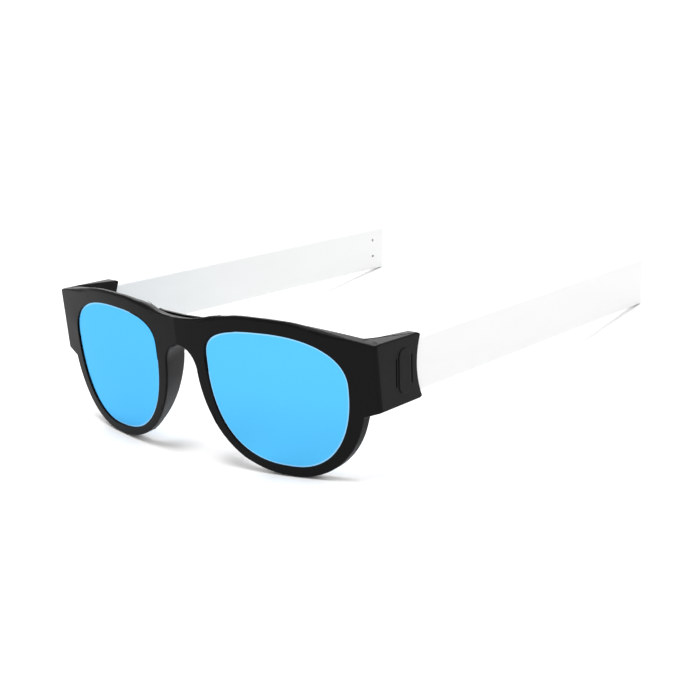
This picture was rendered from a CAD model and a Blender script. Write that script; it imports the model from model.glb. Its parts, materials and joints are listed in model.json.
"""Looks of the sunglasses with snap arms: a black front, two blue mirrored lenses, two white sleeves.

Everything is in metres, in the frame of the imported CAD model. Left is the wearer's left, the +X side.
"""

import json
import logging
import math
from dataclasses import dataclass
from enum import Enum

import bmesh
import bpy
from mathutils import Euler, Matrix, Vector


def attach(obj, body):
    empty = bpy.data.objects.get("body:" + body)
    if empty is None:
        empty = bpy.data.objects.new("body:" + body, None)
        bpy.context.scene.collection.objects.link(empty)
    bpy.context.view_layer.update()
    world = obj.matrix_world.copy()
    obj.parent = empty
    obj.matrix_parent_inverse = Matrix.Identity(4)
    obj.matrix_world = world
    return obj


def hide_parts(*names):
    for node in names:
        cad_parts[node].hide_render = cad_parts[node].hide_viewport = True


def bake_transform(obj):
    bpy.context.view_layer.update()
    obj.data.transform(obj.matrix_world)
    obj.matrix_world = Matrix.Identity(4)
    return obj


log = logging.getLogger("sunglasses")
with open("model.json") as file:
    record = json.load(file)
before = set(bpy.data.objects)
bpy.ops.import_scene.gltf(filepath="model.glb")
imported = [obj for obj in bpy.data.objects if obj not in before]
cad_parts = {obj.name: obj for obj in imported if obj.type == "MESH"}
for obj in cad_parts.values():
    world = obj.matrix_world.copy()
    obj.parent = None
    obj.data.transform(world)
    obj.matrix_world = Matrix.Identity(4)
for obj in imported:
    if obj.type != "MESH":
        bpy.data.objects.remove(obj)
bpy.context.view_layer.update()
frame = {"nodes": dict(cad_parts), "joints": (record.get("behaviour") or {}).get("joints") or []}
MM = 0.001

# Distances within which places count as the same, and angles up to which faces count as flat
HAIR = 0.001 * MM
SNAP = 0.002 * MM
WELD = 0.004 * MM
MERGED_ANGLE = math.radians(0.12)
FLAT_ANGLE = math.radians(0.4)

# The range that most of a noise's values lie in
NOISE_MIDDLE = (0.3, 0.7)


class Side(Enum):
    """The wearer's two sides; the value is the sign of X there."""

    LEFT = 1
    RIGHT = -1

    @property
    def word(self) -> str:
        """The side's name as the CAD nodes write it."""
        return self.name.lower()


class Pattern(Enum):
    """Where a finish takes the place of its pattern from."""

    OBJECT = "Object"
    REST = "rest"


class Recipe:
    """A material's nodes while they are being wired up."""

    def __init__(self, name: str) -> None:
        """Starts a material with nothing but its shader and output.

        Args:
            name: The material's name.
        """
        self.material = bpy.data.materials.new(name)
        self.material.use_nodes = True
        self.tree = self.material.node_tree
        self.shader = self.tree.nodes["Principled BSDF"]

    def node(self, kind: str, links: dict | None = None, **settings: object) -> bpy.types.Node:
        """Adds a node.

        Args:
            kind: The node's type name.
            links: For each input's name or number, a value or another node's output socket.
            **settings: The node's own properties.

        Returns:
            The new node.
        """
        made = self.tree.nodes.new(kind)
        for key, value in settings.items():
            setattr(made, key, value)
        self.feed(made, links or {})
        return made

    def feed(self, node: bpy.types.Node, links: dict) -> None:
        """Sets or links inputs of a node.

        Args:
            node: The node that takes them.
            links: For each input's name or number, a value or another node's output socket.
        """
        for key, value in links.items():
            socket = node.inputs[key]
            if isinstance(value, bpy.types.NodeSocket):
                self.tree.links.new(value, socket)
            else:
                socket.default_value = value

    def place(self, pattern: Pattern) -> bpy.types.NodeSocket:
        """The coordinates that a pattern follows.

        Args:
            pattern: The source of the coordinates.

        Returns:
            A vector socket in metres.
        """
        if pattern is Pattern.REST:
            return self.node("ShaderNodeAttribute", attribute_name=pattern.value).outputs["Vector"]
        return self.node("ShaderNodeTexCoord").outputs[pattern.value]

    def noise(self, place: bpy.types.NodeSocket, size: float, detail: float = 2.0) -> bpy.types.NodeSocket:
        """Adds smooth noise.

        Args:
            place: The coordinates that it follows.
            size: The size of its patches, in metres.
            detail: The number of finer octaves.

        Returns:
            The noise's value, from 0 to 1.
        """
        made = self.node("ShaderNodeTexNoise", {"Vector": place, "Scale": 1 / size, "Detail": detail})
        return made.outputs["Fac"]

    def spread(self, value: bpy.types.NodeSocket, low: float, high: float) -> bpy.types.NodeSocket:
        """Maps the middle range of a noise to a range of its own.

        Args:
            value: The noise.
            low: The result where the noise is low.
            high: The result where the noise is high.

        Returns:
            The mapped value.
        """
        least, most = NOISE_MIDDLE
        made = self.node(
            "ShaderNodeMapRange",
            {"Value": value, "From Min": least, "From Max": most, "To Min": low, "To Max": high},
        )
        return made.outputs["Result"]

    def tint(self, factor: bpy.types.NodeSocket, dark: tuple, light: tuple) -> bpy.types.NodeSocket:
        """Mixes two colours.

        Args:
            factor: 0 for the first colour, 1 for the second.
            dark: The first colour, linear.
            light: The second colour, linear.

        Returns:
            The mixed colour.
        """
        made = self.node("ShaderNodeMix", {0: factor}, data_type="RGBA")
        made.inputs["A"].default_value = (*dark, 1)
        made.inputs["B"].default_value = (*light, 1)
        return made.outputs["Result"]

    def shades(self, value: bpy.types.NodeSocket, colour: tuple, span: tuple) -> bpy.types.NodeSocket:
        """Lets a noise vary a colour.

        Args:
            value: The noise.
            colour: The colour, linear.
            span: The factors of its darkest and its lightest shade.

        Returns:
            The varied colour.
        """
        dark, light = (shade(colour, factor) for factor in span)
        return self.tint(self.spread(value, 0, 1), dark, light)

    def around(self, value: bpy.types.NodeSocket, middle: float, span: tuple) -> bpy.types.NodeSocket:
        """Lets a noise vary a number.

        Args:
            value: The noise.
            middle: The number.
            span: What is added to it where the noise is low, and where it is high.

        Returns:
            The varied number.
        """
        low, high = span
        return self.spread(value, middle + low, middle + high)

    def bump(self, height: bpy.types.NodeSocket, depth: float) -> None:
        """Gives the shader a bump.

        Args:
            height: The bump's height, from 0 to 1.
            depth: The height's full depth, in metres.
        """
        made = self.node("ShaderNodeBump", {"Height": height, "Distance": depth, "Strength": 1.0})
        self.feed(self.shader, {"Normal": made.outputs["Normal"]})


def shade(colour: tuple, factor: float) -> tuple:
    """A colour made darker or lighter by a factor."""
    return tuple(min(1.0, channel * factor) for channel in colour)


@dataclass(frozen=True)
class MouldedPlastic:
    """Plastic moulded in its own colour, with the fine satin grain of an eroded mould."""

    name: str
    colour: tuple
    roughness: float
    gloss: float
    flow_size: float = 14 * MM
    shades: tuple = (0.86, 1.16)
    polish: tuple = (-0.04, 0.05)
    grain: float = 0.22 * MM
    grain_depth: float = 0.006 * MM

    def material(self) -> bpy.types.Material:
        """Makes the material.

        Returns:
            The material.
        """
        recipe = Recipe(self.name)
        place = recipe.place(Pattern.OBJECT)
        flow = recipe.noise(place, self.flow_size, 3)
        grain = recipe.noise(place, self.grain, 1)
        recipe.feed(
            recipe.shader,
            {
                "Base Color": recipe.shades(flow, self.colour, self.shades),
                "Roughness": recipe.around(flow, self.roughness, self.polish),
                "Specular IOR Level": self.gloss,
            },
        )
        recipe.bump(grain, self.grain_depth)
        return recipe.material


@dataclass(frozen=True)
class MirrorCoating:
    """A blue mirror coating on a smooth lens, a little deeper towards grazing angles."""

    name: str
    colour: tuple
    edge_colour: tuple
    glancing_colour: tuple = (0.61, 0.87, 0.97)
    edge_share: float = 0.22
    film_size: float = 22 * MM
    shades: tuple = (0.985, 1.0)
    roughness: float = 0.16
    polish: tuple = (-0.02, 0.03)
    ripple: float = 9 * MM
    ripple_depth: float = 0.002 * MM

    def material(self) -> bpy.types.Material:
        """Makes the material.

        Returns:
            The material.
        """
        recipe = Recipe(self.name)
        place = recipe.place(Pattern.OBJECT)
        film = recipe.noise(place, self.film_size, 2)
        facing = recipe.node("ShaderNodeLayerWeight", {"Blend": self.edge_share}).outputs["Facing"]
        coated = recipe.shades(film, self.colour, self.shades)
        mixed = recipe.node("ShaderNodeMix", {0: facing}, data_type="RGBA")
        recipe.feed(mixed, {"A": coated})
        mixed.inputs["B"].default_value = (*self.edge_colour, 1)
        recipe.feed(
            recipe.shader,
            {
                "Base Color": mixed.outputs["Result"],
                "Metallic": 1.0,
                "Specular Tint": (*self.glancing_colour, 1),
                "Roughness": recipe.around(film, self.roughness, self.polish),
            },
        )
        recipe.bump(recipe.noise(place, self.ripple, 1), self.ripple_depth)
        return recipe.material


@dataclass(frozen=True)
class SoftSilicone:
    """Soft matt silicone: a faint long flow in its colour and a fine dull surface."""

    name: str
    colour: tuple
    roughness: float = 0.55
    gloss: float = 0.35
    stretch: tuple = (1, 0.18, 1)
    flow_size: float = 5 * MM
    shades: tuple = (0.982, 1.0)
    polish: tuple = (-0.04, 0.06)
    glow: float = 0.12
    glow_depth: float = 0.8 * MM
    grain: float = 0.35 * MM
    grain_depth: float = 0.008 * MM

    def material(self) -> bpy.types.Material:
        """Makes the material.

        Returns:
            The material.
        """
        recipe = Recipe(self.name)
        place = recipe.place(Pattern.REST)
        drawn = recipe.node("ShaderNodeMapping", {"Vector": place, "Scale": self.stretch})
        flow = recipe.noise(drawn.outputs["Vector"], self.flow_size, 3)
        dull = recipe.noise(place, self.grain, 2)
        recipe.feed(
            recipe.shader,
            {
                "Base Color": recipe.shades(flow, self.colour, self.shades),
                "Roughness": recipe.around(flow, self.roughness, self.polish),
                "Specular IOR Level": self.gloss,
                "Subsurface Weight": self.glow,
                "Subsurface Radius": (1.0, 1.0, 1.0),
                "Subsurface Scale": self.glow_depth,
            },
        )
        recipe.bump(dull, self.grain_depth)
        return recipe.material


@dataclass(frozen=True)
class DrawnSteel:
    """Bright steel with fine lines in the direction it was rolled or drawn in."""

    name: str
    colour: tuple
    stretch: tuple
    roughness: float = 0.3
    line_size: float = 0.12 * MM
    line_depth: float = 0.003 * MM
    shades: tuple = (0.85, 1.08)
    polish: tuple = (-0.06, 0.1)

    def material(self) -> bpy.types.Material:
        """Makes the material.

        Returns:
            The material.
        """
        recipe = Recipe(self.name)
        place = recipe.place(Pattern.OBJECT)
        lined = recipe.node("ShaderNodeMapping", {"Vector": place, "Scale": self.stretch})
        lines = recipe.noise(lined.outputs["Vector"], self.line_size, 3)
        recipe.feed(
            recipe.shader,
            {
                "Base Color": recipe.shades(lines, self.colour, self.shades),
                "Metallic": 1.0,
                "Roughness": recipe.around(lines, self.roughness, self.polish),
            },
        )
        recipe.bump(lines, self.line_depth)
        return recipe.material


@dataclass(frozen=True)
class StudioFloor:
    """A pale matt floor with a faint unevenness."""

    name: str
    colour: tuple
    roughness: float = 0.9
    gloss: float = 0.1
    cloud_size: float = 240 * MM
    shades: tuple = (0.99, 1.0)

    def material(self) -> bpy.types.Material:
        """Makes the material.

        Returns:
            The material.
        """
        recipe = Recipe(self.name)
        cloud = recipe.noise(recipe.place(Pattern.OBJECT), self.cloud_size, 2)
        recipe.feed(
            recipe.shader,
            {
                "Base Color": recipe.shades(cloud, self.colour, self.shades),
                "Roughness": self.roughness,
                "Specular IOR Level": self.gloss,
            },
        )
        return recipe.material


FRAME_BLACK = MouldedPlastic("frame_black", (0.0040, 0.0040, 0.0042), roughness=0.42, gloss=0.08)
PLUG_GREY = MouldedPlastic("plug_grey", (0.060, 0.064, 0.068), roughness=0.5, gloss=0.4)
LENS_BLUE = MirrorCoating("lens_blue", (0.082, 0.440, 0.760), (0.045, 0.29, 0.68))
LENS_EDGE = MirrorCoating("lens_edge", (0.230, 0.510, 0.760), (0.190, 0.420, 0.720))
SLEEVE_WHITE = SoftSilicone("sleeve_white", (0.778, 0.785, 0.778))
STRIP_STEEL = DrawnSteel("strip_steel", (0.60, 0.62, 0.64), (1.0, 0.03, 1.0))
PIN_STEEL = DrawnSteel("pin_steel", (0.62, 0.64, 0.66), (0.04, 1.0, 1.0), roughness=0.24)
FLOOR_WHITE = StudioFloor("floor_white", (0.90, 0.90, 0.90))


def mesh_object(
    name: str, bm: bmesh.types.BMesh, material: bpy.types.Material, sharp: float = 32
) -> bpy.types.Object:
    """Turns a finished bmesh into an object in the scene.

    Args:
        name: The object's name.
        bm: The mesh, which is freed here.
        material: The object's material.
        sharp: The angle in degrees from which an edge stays sharp.

    Returns:
        The new object, with its place in its mesh.
    """
    mesh = bpy.data.meshes.new(name)
    mesh.materials.append(material)
    bm.to_mesh(mesh)
    bm.free()
    mesh.shade_smooth()
    mesh.set_sharp_from_angle(angle=math.radians(sharp))
    made = bpy.data.objects.new(name, mesh)
    bpy.context.scene.collection.objects.link(made)
    return made


def merged_copy(node: str) -> bmesh.types.BMesh:
    """A copy of a CAD node's mesh with its loose triangles merged and its flat faces whole.

    Args:
        node: The CAD node's name.

    Returns:
        The merged mesh.
    """
    bm = bmesh.new()
    bm.from_mesh(frame["nodes"][node].data)
    bmesh.ops.remove_doubles(bm, verts=bm.verts, dist=WELD)
    bmesh.ops.dissolve_limit(bm, angle_limit=MERGED_ANGLE, verts=bm.verts, edges=bm.edges)
    return bm


def slice_mesh(bm: bmesh.types.BMesh, place: tuple, normal: tuple, **options: object) -> list:
    """Cuts a mesh along a plane.

    Args:
        bm: The mesh.
        place: A point of the plane.
        normal: The plane's normal.
        **options: The cutting operator's own settings.

    Returns:
        The edges that lie in the plane.
    """
    parts = [*bm.verts, *bm.edges, *bm.faces]
    cut = bmesh.ops.bisect_plane(bm, geom=parts, plane_co=place, plane_no=normal, **options)
    return [part for part in cut["geom_cut"] if isinstance(part, bmesh.types.BMEdge)]


def fair_normals(made: bpy.types.Object) -> None:
    """Shades an object so that its broad faces look even up to their rounded edges.

    Args:
        made: The object.
    """
    faired = made.modifiers.new("faired_normals", "WEIGHTED_NORMAL")
    faired.mode = "FACE_AREA"
    faired.keep_sharp = True


@dataclass
class Stance:
    """How the glasses stand: the lean and the shift of the drawing that is square to the front."""

    lean: float = 2.7889
    back: float = 91.2433 * MM
    rise: float = 46.1888 * MM

    @property
    def matrix(self) -> Matrix:
        """The matrix from the drawing's frame to the CAD model's."""
        shift = Matrix.Translation((0, -self.back, self.rise))
        return shift @ Matrix.Rotation(math.radians(-self.lean), 4, "X")


@dataclass
class ArmLine:
    """The straight line of one arm: its hinges, and its directions along, outwards and up."""

    side: Side
    lead: float = 23 * MM

    def __post_init__(self) -> None:
        """Reads the arm's hinges from the CAD model's joints."""
        hinges = [j for j in frame["joints"] if j["name"].startswith(f"{self.side.word}_curl_")]
        hinges.sort(key=lambda joint: int(joint["name"].rsplit("_", 1)[1]))
        self.links = len(hinges)
        first, last = Vector(hinges[0]["pos_m"]), Vector(hinges[-1]["pos_m"])
        self.along = (last - first).normalized()
        self.up = (self.side.value * Vector(hinges[0]["axis"])).normalized()
        self.out = self.side.value * self.along.cross(self.up)
        self.pitch = (last - first).length / (self.links - 1)
        self.tail = first - self.along * self.lead

    @property
    def matrix(self) -> Matrix:
        """The matrix from the arm's own frame (out, along, up) to the CAD model's."""
        turn = Matrix((self.out, self.along, self.up)).transposed().to_4x4()
        return Matrix.Translation(self.tail) @ turn

    def body(self, link: int) -> str:
        """The body of a link, where link 0 is the front."""
        return f"{self.side.word}_link_{link}" if link else "front"

    def middle(self, link: int) -> float:
        """The distance behind the tail of the middle of a link, where link 0 is the arm's root."""
        return self.lead + (link - 0.5) * self.pitch


@dataclass
class Wrap:
    """The wrap of the front: each half lies on an upright cylinder, and the two meet at a fold."""

    radius: float = 300 * MM
    fold: float = 3.8
    strip: float = 3 * MM
    reach: float = 66 * MM

    def __post_init__(self) -> None:
        """Works out where the cylinder of the left half stands."""
        self.across = self.radius * math.sin(math.radians(self.fold))
        self.back = self.radius * math.cos(math.radians(self.fold))

    def depth(self, place: Vector) -> float:
        """The depth of a point of the drawing behind the wrapped front face.

        Args:
            place: The point, square to the front.

        Returns:
            The depth in metres.
        """
        return self.radius - math.hypot(self.across + abs(place.x), self.back - place.y)

    def flatten(self, bm: bmesh.types.BMesh) -> None:
        """Lays the wrapped front flat, so that Y is the depth behind its face.

        Args:
            bm: The front, square to the drawing.
        """
        for vert in bm.verts:
            vert.co.y = self.depth(vert.co)

    def bend(self, bm: bmesh.types.BMesh) -> None:
        """Cuts the flat front into narrow upright strips and bends it back to its wrap.

        Args:
            bm: The front, laid flat.
        """
        count = round(self.reach / self.strip)
        for number in range(-count, count + 1):
            slice_mesh(bm, (number * self.strip, 0, 0), (1, 0, 0), dist=SNAP)
        for vert in bm.verts:
            run = math.sqrt((self.radius - vert.co.y) ** 2 - (self.across + abs(vert.co.x)) ** 2)
            vert.co.y = self.back - run


@dataclass(frozen=True)
class Rise:
    """A smooth step in a value along the front, alike on both sides of its middle."""

    start: float
    end: float
    height: float

    def at(self, across: float) -> float:
        """The part of the step that a place has.

        Args:
            across: The place's distance from the middle of the front, in metres.

        Returns:
            A value from 0 to the step's height.
        """
        share = min(1.0, max(0.0, (abs(across) - self.start) / (self.end - self.start)))
        return self.height * share * share * (3 - 2 * share)


@dataclass
class FrontFrame:
    """The moulded front with its rims, bridge, nose pads and end pieces.

    The fields whose names end in edge are the widths of its roundings. The brow's fields raise or
    lower its top. The others say where on the front something lies, measured from its middle.
    """

    stance: Stance
    arms: dict[Side, ArmLine]
    wrap: Wrap
    thickness: float = 3.6 * MM
    skin: float = 0.1 * MM
    face_band: float = 0.3 * MM
    least_angle: float = 33
    upward: float = 0.5
    edge_segments: int = 4
    outer_edge: float = 0.5 * MM
    brow_edge: float = 2 * MM
    slot_edge: float = 0.12 * MM
    eye_edge: float = 0.26 * MM
    pad_edge: float = 0.7 * MM
    cover_edge: float = 0.26 * MM
    groove_edge: float = 0.1 * MM
    brow_round: tuple[Rise, ...] = (Rise(4 * MM, 12 * MM, 1), Rise(50 * MM, 66 * MM, -1))
    bridge_front: float = 0.2 * MM
    bridge_back: float = -0.75 * MM
    brow_front: tuple[Rise, ...] = (
        Rise(0, 15 * MM, 0.7 * MM),
        Rise(15 * MM, 26 * MM, 1.2 * MM),
        Rise(42 * MM, 62 * MM, -2.1 * MM),
    )
    brow_back: tuple[Rise, ...] = (
        Rise(10.8 * MM, 14 * MM, 0.45 * MM),
        Rise(14 * MM, 25 * MM, 0.2 * MM),
        Rise(42 * MM, 62 * MM, 0.1 * MM),
    )
    lowest_top: float = 2 * MM
    rib_end: float = 10.4 * MM
    rib_reach: float = 1.7 * MM
    rib_rise: float = 0.25 * MM
    bridge_half: float = 12 * MM
    pad_back: float = 5.6 * MM
    pad_half: float = 24 * MM
    eye_middle: tuple = (36.7 * MM, -20.5 * MM)
    eye_half: tuple = (26.9 * MM, 23.6 * MM)
    eye_square: float = 2.3
    eye_span: tuple = (11 * MM, 62.6 * MM)
    socket_half: tuple = (1.5 * MM, 8.9 * MM)
    socket_depth: float = 17 * MM
    pin_back: float = 10.3 * MM
    cover_half: float = 3.3 * MM
    relief_half: tuple = (4.9 * MM, 8.2 * MM)

    def edge_width(self, edge: bmesh.types.BMEdge) -> float:
        """The width that an edge is rounded by.

        Args:
            edge: An edge of the merged mesh, in the CAD model's frame.

        Returns:
            The width in metres, 0 for an edge that stays as it is.
        """
        if len(edge.link_faces) != 2:
            return 0.0
        if edge.calc_face_angle_signed() < math.radians(self.least_angle):
            return 0.0
        middle = (edge.verts[0].co + edge.verts[1].co) / 2
        place = self.stance.matrix.inverted() @ middle
        across, depth = abs(place.x), self.wrap.depth(place)
        in_front, behind = depth < self.face_band, depth > self.thickness - self.face_band
        in_arm = self.arms[Side.LEFT if place.x > 0 else Side.RIGHT].matrix.inverted() @ middle
        out, along, up = abs(in_arm.x), in_arm.y, abs(in_arm.z)
        if out < self.socket_half[0] and up < self.socket_half[1] and along > -self.socket_depth:
            return 0.0
        from_pin = abs(along + self.pin_back)
        if from_pin < self.relief_half[0] and up < self.relief_half[1]:
            if in_arm.x < 0:
                return 0.0
            return self.cover_edge if from_pin < self.cover_half else self.groove_edge
        if place.z > 0 and across < self.bridge_half and behind:
            return self.slot_edge
        if place.y > self.pad_back and across < self.pad_half:
            return self.pad_edge
        if self.eye_span[0] < across < self.eye_span[1] and self.in_eye(place):
            return self.eye_edge if in_front or behind else 0.0
        if place.z > 0 and in_front and sum(face.normal.z for face in edge.link_faces) > self.upward:
            share = sum(rise.at(place.x) for rise in self.brow_round)
            return self.outer_edge + (self.brow_edge - self.outer_edge) * share
        return self.outer_edge

    def rake_brow(self, bm: bmesh.types.BMesh) -> None:
        """Moves the top face's front and back edges, so that it falls towards the back over the eyes.

        The rib behind the bridge is lengthened here too.

        Args:
            bm: The front, laid flat.
        """
        bm.normal_update()
        behind = self.thickness + self.skin
        for vert in bm.verts:
            at_end = self.rib_end < abs(vert.co.x) < self.bridge_half
            if at_end and vert.co.y > behind and vert.co.z > 0:
                vert.co.x += math.copysign(self.rib_reach, vert.co.x)
                vert.co.z += self.rib_rise if vert.co.z > self.lowest_top else 0
        tops = {vert for face in bm.faces if face.normal.z > self.upward for vert in face.verts}
        for vert in tops:
            if vert.co.z < self.lowest_top or vert.co.y > behind:
                continue
            front = self.bridge_front + sum(rise.at(vert.co.x) for rise in self.brow_front)
            back = self.bridge_back + sum(rise.at(vert.co.x) for rise in self.brow_back)
            vert.co.z += front + (back - front) * min(1.0, vert.co.y / self.thickness)

    def in_eye(self, place: Vector) -> bool:
        """Whether a point of the drawing lies in an eye opening or its groove.

        Args:
            place: The point, square to the front.

        Returns:
            True inside the opening grown by the groove.
        """
        across = (abs(place.x) - self.eye_middle[0]) / self.eye_half[0]
        up = (place.z - self.eye_middle[1]) / self.eye_half[1]
        return abs(across) ** self.eye_square + abs(up) ** self.eye_square < 1.0

    def clear_lines(self, bm: bmesh.types.BMesh) -> None:
        """Takes the loose lines off the flat faces, but keeps one cross of lines through each eye.

        Args:
            bm: The front, laid flat.
        """
        across, up = self.eye_middle
        planes = [((x, 0, 0), (1, 0, 0)) for x in (0, across, -across)] + [((0, 0, up), (0, 0, 1))]
        for place, normal in planes:
            for edge in slice_mesh(bm, place, normal):
                edge.seam = True
        bmesh.ops.dissolve_limit(
            bm, angle_limit=FLAT_ANGLE, verts=bm.verts, edges=bm.edges, delimit={"SEAM"}
        )

    def round_edges(self, bm: bmesh.types.BMesh, plastic: bpy.types.Material) -> bmesh.types.BMesh:
        """Rounds the weighted edges.

        Args:
            bm: The front, laid flat, which is freed here.
            plastic: The front's material.

        Returns:
            The rounded mesh.
        """
        held = mesh_object("front_flat", bm, plastic)
        rounding = held.modifiers.new("rounded_edges", "BEVEL")
        rounding.limit_method = "WEIGHT"
        rounding.width = self.brow_edge
        rounding.segments = self.edge_segments
        rounding.profile = 0.5
        rounding.use_clamp_overlap = False
        rounding.loop_slide = False
        rounded = bmesh.new()
        rounded.from_object(held, bpy.context.evaluated_depsgraph_get())
        flat = held.data
        bpy.data.objects.remove(held)
        bpy.data.meshes.remove(flat)
        return rounded

    def build(self, plastic: bpy.types.Material) -> bpy.types.Object:
        """Builds the front from the CAD solid, with its edges rounded as moulded ones are.

        Args:
            plastic: The front's material.

        Returns:
            The dressed front.
        """
        bm = merged_copy("front_frame")
        weights = bm.edges.layers.float.new("bevel_weight_edge")
        for edge in bm.edges:
            edge[weights] = self.edge_width(edge) / self.brow_edge
        bmesh.ops.transform(bm, matrix=self.stance.matrix.inverted(), verts=bm.verts)
        self.wrap.flatten(bm)
        self.rake_brow(bm)
        self.clear_lines(bm)
        bm = self.round_edges(bm, plastic)
        self.wrap.bend(bm)
        bmesh.ops.transform(bm, matrix=self.stance.matrix, verts=bm.verts)
        made = mesh_object("front_dressed", bm, plastic)
        fair_normals(made)
        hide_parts("front_frame")
        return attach(made, "front")


@dataclass
class Lens:
    """One mirrored lens, with the fine chamfer of its cut edge and the paler line beside the rim."""

    side: Side
    stance: Stance
    wrap: Wrap
    chamfer: float = 0.12 * MM
    chamfer_segments: int = 2
    least_angle: float = 40
    in_groove: float = 0.85 * MM
    pale_line: float = 0.6 * MM
    forward: float = 0.99

    def build(self, coating: bpy.types.Material, line: bpy.types.Material) -> bpy.types.Object:
        """Builds the lens from the CAD solid.

        Args:
            coating: The mirror coating, which both lenses share.
            line: The paler finish of the line along the rim.

        Returns:
            The dressed lens.
        """
        node = f"lens_{self.side.word}"
        bm = merged_copy(node)
        bmesh.ops.transform(bm, matrix=self.stance.matrix.inverted(), verts=bm.verts)
        self.wrap.flatten(bm)
        bmesh.ops.dissolve_limit(bm, angle_limit=FLAT_ANGLE, verts=bm.verts, edges=bm.edges)
        least = math.radians(self.least_angle)
        bmesh.ops.bevel(
            bm,
            geom=[edge for edge in bm.edges if edge.calc_face_angle_signed() > least],
            offset=self.chamfer,
            affect="EDGES",
            segments=self.chamfer_segments,
            profile=0.5,
            material=-1,
        )
        bm.normal_update()
        front = [face for face in bm.faces if face.normal.y < -self.forward]
        bmesh.ops.inset_region(bm, faces=front, thickness=self.in_groove, use_even_offset=True)
        ring = bmesh.ops.inset_region(bm, faces=front, thickness=self.pale_line, use_even_offset=True)
        for face in ring["faces"]:
            face.material_index = 1
        self.wrap.bend(bm)
        bmesh.ops.transform(bm, matrix=self.stance.matrix, verts=bm.verts)
        made = mesh_object(f"{node}_dressed", bm, coating, sharp=30)
        made.data.materials.append(line)
        fair_normals(made)
        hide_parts(node)
        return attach(made, "front")


@dataclass
class Sleeve:
    """The soft sleeve of one arm: a fixed root, one bending length over each hinge and the tip."""

    line: ArmLine
    width: float = 17.4 * MM
    thickness: float = 2.6 * MM
    edge: float = 0.6 * MM
    edge_segments: int = 5
    slot_width: float = 14.5 * MM
    slot_thickness: float = 0.9 * MM
    root: float = 7 * MM
    length: float = 147 * MM
    tip_start: float = 138.4 * MM
    slices: int = 12

    def tube(self, start: float, end: float, slices: int) -> bmesh.types.BMesh:
        """A length of sleeve round the strip's slot, with its long edges rounded.

        Args:
            start: Its start, as a distance behind the tail.
            end: Its end, as a distance behind the tail.
            slices: The number of slices that let it bend.

        Returns:
            The closed mesh, in the arm's own frame.
        """
        bm = bmesh.new()
        middle = Matrix.Translation((0, (start + end) / 2, 0))
        size = Matrix.Diagonal((self.thickness, end - start, self.width, 1))
        bmesh.ops.create_cube(bm, size=1, matrix=middle @ size)
        bmesh.ops.bevel(
            bm,
            geom=[edge for edge in bm.edges if abs(edge.verts[0].co.y - edge.verts[1].co.y) > HAIR],
            offset=self.edge,
            affect="EDGES",
            segments=self.edge_segments,
            profile=0.5,
            material=-1,
        )
        slot = bmesh.new()
        size = Matrix.Diagonal((self.slot_thickness, end - start, self.slot_width, 1))
        bmesh.ops.create_cube(slot, size=1, matrix=middle @ size)
        bmesh.ops.reverse_faces(slot, faces=slot.faces)
        joined = bpy.data.meshes.new("slot")
        slot.to_mesh(joined)
        slot.free()
        bm.from_mesh(joined)
        bpy.data.meshes.remove(joined)
        for at in (start, end):
            caps = [face for face in bm.faces if all(abs(vert.co.y - at) < HAIR for vert in face.verts)]
            rim = [edge for face in caps for edge in face.edges]
            bmesh.ops.delete(bm, geom=caps, context="FACES_ONLY")
            bmesh.ops.bridge_loops(bm, edges=rim)
        for step in range(1, slices):
            at = start + (end - start) * step / slices
            slice_mesh(bm, (0, at, 0), (0, 1, 0))
        bmesh.ops.recalc_face_normals(bm, faces=bm.faces)
        return bm

    def tip(self, start: float) -> bmesh.types.BMesh:
        """The closed tip with its rounded corners and moulding holes, cut from the CAD solid.

        Args:
            start: Where it starts, as a distance behind the tail.

        Returns:
            The closed mesh, in the arm's own frame.
        """
        bm = merged_copy(f"{self.line.side.word}_sleeve_{self.line.links}")
        bmesh.ops.transform(bm, matrix=self.line.matrix.inverted(), verts=bm.verts)
        rim = slice_mesh(bm, (0, start, 0), (0, 1, 0), clear_inner=True)
        bmesh.ops.bridge_loops(bm, edges=rim)
        bmesh.ops.recalc_face_normals(bm, faces=bm.faces)
        return bm

    def place(self, bm: bmesh.types.BMesh) -> None:
        """Keeps each point's place in the arm's own frame for the pattern, then moves the mesh there.

        Args:
            bm: The mesh, in the arm's own frame.
        """
        rest = bm.verts.layers.float_vector.new(Pattern.REST.value)
        for vert in bm.verts:
            vert[rest] = vert.co
        bmesh.ops.transform(bm, matrix=self.line.matrix, verts=bm.verts)
        if self.line.side is Side.RIGHT:
            bmesh.ops.recalc_face_normals(bm, faces=bm.faces)

    def build(self, silicone: bpy.types.Material) -> list:
        """Builds every length of the sleeve.

        Args:
            silicone: The material, which both sleeves share.

        Returns:
            The sleeve's pieces from the root to the tip.
        """
        line, word = self.line, self.line.side.word
        bm = self.tube(-self.root, line.middle(0), 1)
        self.place(bm)
        root = mesh_object(f"{word}_sleeve_root_dressed", bm, silicone)
        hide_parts(f"{word}_sleeve_root")
        made = [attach(root, "front")]
        for link in range(1, line.links + 1):
            start, end = line.middle(link - 1), line.middle(link)
            if link == line.links:
                end = self.tip_start
            bm = self.tube(start, end, self.slices)
            self.place(bm)
            bend = mesh_object(f"{word}_sleeve_bend_{link}", bm, silicone)
            line.body(link - 1)
            line.body(link)
            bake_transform(bend)
            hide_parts(f"{word}_sleeve_{link}")
            made.append(bend)
        bm = self.tip(self.tip_start)
        self.place(bm)
        tip = mesh_object(f"{word}_sleeve_tip_dressed", bm, silicone)
        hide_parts(f"{word}_sleeve_{line.links}")
        made.append(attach(tip, line.body(line.links)))
        return made


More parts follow.
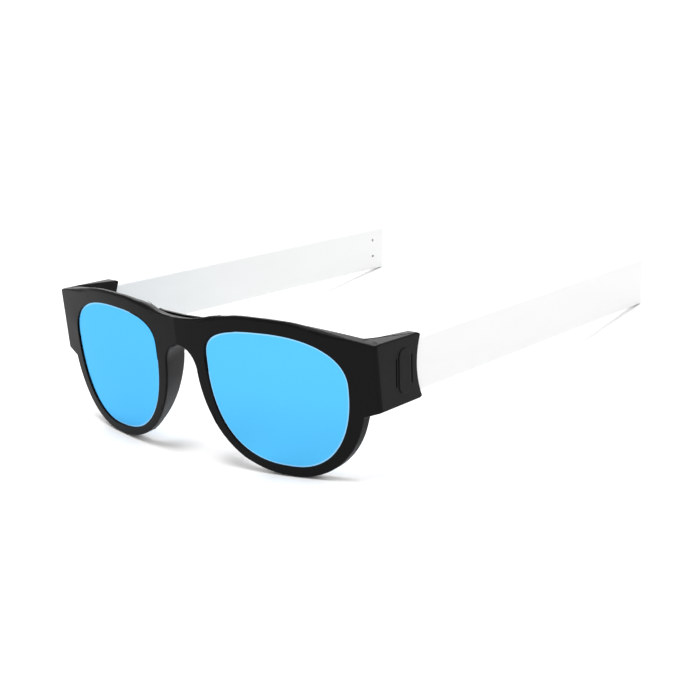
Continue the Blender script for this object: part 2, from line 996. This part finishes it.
@dataclass
class HiddenParts:
    """The carried CAD nodes inside the arms: strips, plugs, rivets and locking pins."""

    def dress(self) -> list:
        """Gives each carried node its material.

        Returns:
            The names of the dressed nodes.
        """
        finishes = {
            "strip": STRIP_STEEL.material(),
            "plug": PLUG_GREY.material(),
            "rivets": PIN_STEEL.material(),
            "lock_pins": PIN_STEEL.material(),
        }
        dressed = []
        for name, node in frame["nodes"].items():
            found = [finish for word, finish in finishes.items() if word in name]
            if found and not node.hide_render:
                node.data.materials.clear()
                node.data.materials.append(found[0])
                dressed.append(name)
        return dressed


@dataclass(frozen=True)
class SoftLight:
    """A broad soft light a long way off."""

    name: str
    azimuth: float
    height: float
    spread: float
    strength: float

    def hang(self) -> bpy.types.Object:
        """Hangs the light.

        Returns:
            The light's object. It shines from its azimuth (0 in front, 90 on the left side) and height.
        """
        lamp = bpy.data.lights.new(self.name, "SUN")
        lamp.energy = self.strength * math.pi
        lamp.angle = math.radians(self.spread)
        hung = bpy.data.objects.new(self.name, lamp)
        turn, rise = math.radians(self.azimuth), math.radians(self.height)
        level = math.cos(rise)
        towards = Vector((math.sin(turn) * level, -math.cos(turn) * level, math.sin(rise)))
        hung.rotation_euler = towards.to_track_quat("Z", "Y").to_euler()
        bpy.context.scene.collection.objects.link(hung)
        return hung


SOFT_LIGHTS = (
    SoftLight("overhead", azimuth=0, height=90, spread=30, strength=0.84),
    SoftLight("back_left", azimuth=130, height=20, spread=40, strength=0.17),
    SoftLight("back_right", azimuth=-140, height=25, spread=40, strength=0.445),
)


@dataclass
class Studio:
    """The floor, the lights and the camera."""

    sky: float = 0.6
    floor_size: float = 4
    camera_place: tuple = (361.13 * MM, -411.106 * MM, 215.663 * MM)
    camera_turn: tuple = (68.7727, 6.7910, 39.2850)
    sensor_width: float = 36
    focal_length: float = 81.298
    clip: tuple = (0.01, 50)

    def floor(self) -> bpy.types.Object:
        """Lays the floor.

        Returns:
            The floor.
        """
        bm = bmesh.new()
        bmesh.ops.create_grid(bm, x_segments=4, y_segments=4, size=self.floor_size)
        floor = mesh_object("floor", bm, FLOOR_WHITE.material())
        return floor

    def lights(self) -> None:
        """Hangs the soft lights and makes the sky an even white."""
        for light in SOFT_LIGHTS:
            light.hang()
        world = bpy.data.worlds.new("sky")
        world.use_nodes = True
        background = world.node_tree.nodes["Background"]
        background.inputs["Color"].default_value = (1, 1, 1, 1)
        background.inputs["Strength"].default_value = self.sky
        bpy.context.scene.world = world

    def camera(self) -> None:
        """Sets the camera where the photograph was taken from."""
        lens = bpy.data.cameras.new("camera")
        lens.sensor_width = self.sensor_width
        lens.lens = self.focal_length
        lens.clip_start, lens.clip_end = self.clip
        stand = bpy.data.objects.new("camera", lens)
        stand.location = self.camera_place
        stand.rotation_euler = Euler((math.radians(angle) for angle in self.camera_turn), "XYZ")
        bpy.context.scene.collection.objects.link(stand)
        bpy.context.scene.camera = stand
        bpy.context.scene.view_settings.view_transform = "Standard"


def main() -> None:
    """Builds and dresses every piece in order."""
    logging.basicConfig(level=logging.INFO, format="%(name)s: %(message)s")
    arms = {side: ArmLine(side) for side in Side}
    stance, wrap = Stance(), Wrap()
    front = FrontFrame(stance, arms, wrap).build(FRAME_BLACK.material())
    log.info("%s: %d faces", front.name, len(front.data.polygons))
    coating, line = LENS_BLUE.material(), LENS_EDGE.material()
    silicone = SLEEVE_WHITE.material()
    for side in Side:
        lens = Lens(side, stance, wrap).build(coating, line)
        log.info("%s: %d faces", lens.name, len(lens.data.polygons))
        for piece in Sleeve(arms[side]).build(silicone):
            log.info("%s: %d faces", piece.name, len(piece.data.polygons))
    log.info("carried nodes: %s", ", ".join(HiddenParts().dress()))
    studio = Studio()
    studio.floor()
    studio.lights()
    studio.camera()


if __name__ == "__main__":
    main()
